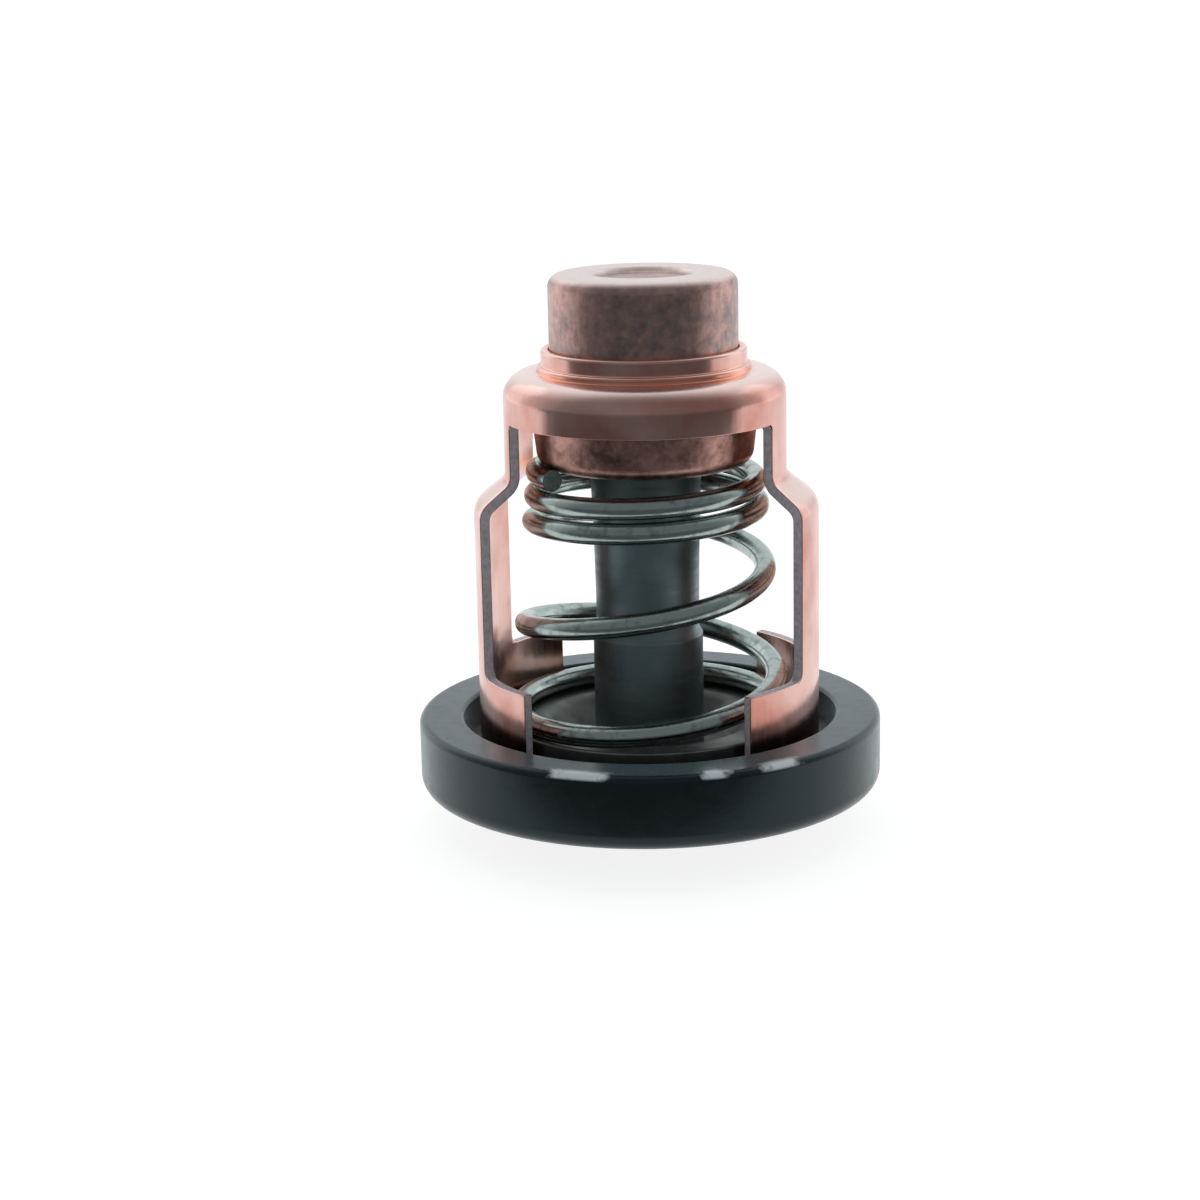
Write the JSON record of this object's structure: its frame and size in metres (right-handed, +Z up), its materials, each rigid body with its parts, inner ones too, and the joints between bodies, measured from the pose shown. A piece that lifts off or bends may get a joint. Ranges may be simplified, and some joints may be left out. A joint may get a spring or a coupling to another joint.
{
  "type": "engine thermostat",
  "caption": "Wax-pellet coolant valve: copper cage with a sensing bulb, a conical return spring, a lifting valve disc and a black rubber sealing ring round the seat flange.",
  "frame": {"origin": "centre of the bridge's flat underside, the lowest face, on the axis of the valve", "axes": "+Z up along the axis of the valve towards the sensing bulb, +X towards one leg of the cage"},
  "size_m": [0.041, 0.041, 0.0489],
  "materials": {
    "black_rubber": "moulded, satin",
    "plated_steel": "dull plated",
    "ground_steel": "ground",
    "white_plastic": "turned",
    "inner_rubber": "moulded",
    "bright_copper": "drawn, bright copper",
    "dull_copper": "drawn, tarnished copper",
    "spring_steel": "bright wound wire",
    "wax": "copper-filled wax",
    "nickel_plate": "dull nickel plate",
    "dark_steel": "dark coated"
  },
  "bodies": {
    "housing": {"sealing_ring": "black_rubber", "seat_flange": "plated_steel", "bridge_strap": "plated_steel", "piston_pin": "ground_steel", "backing_disc": "white_plastic", "rubber_plug": "inner_rubber", "cage_frame": "bright_copper", "spring_cup": "dull_copper", "return_spring": "spring_steel"},
    "valve_unit": {"wax_cup": "dull_copper", "wax_charge": "wax", "diaphragm": "inner_rubber", "guide_sleeve": "nickel_plate", "valve_disc": "dark_steel", "retaining_clip": "spring_steel"}
  },
  "joints": [
    {"name": "valve_lift", "type": "slide", "parent": "housing", "child": "valve_unit", "axis": [0, 0, 1], "range_m": [0, 0.007], "stiffness_N_per_m": 2000, "springref_m": -0.005, "deforming": ["return_spring"]}
  ]
}
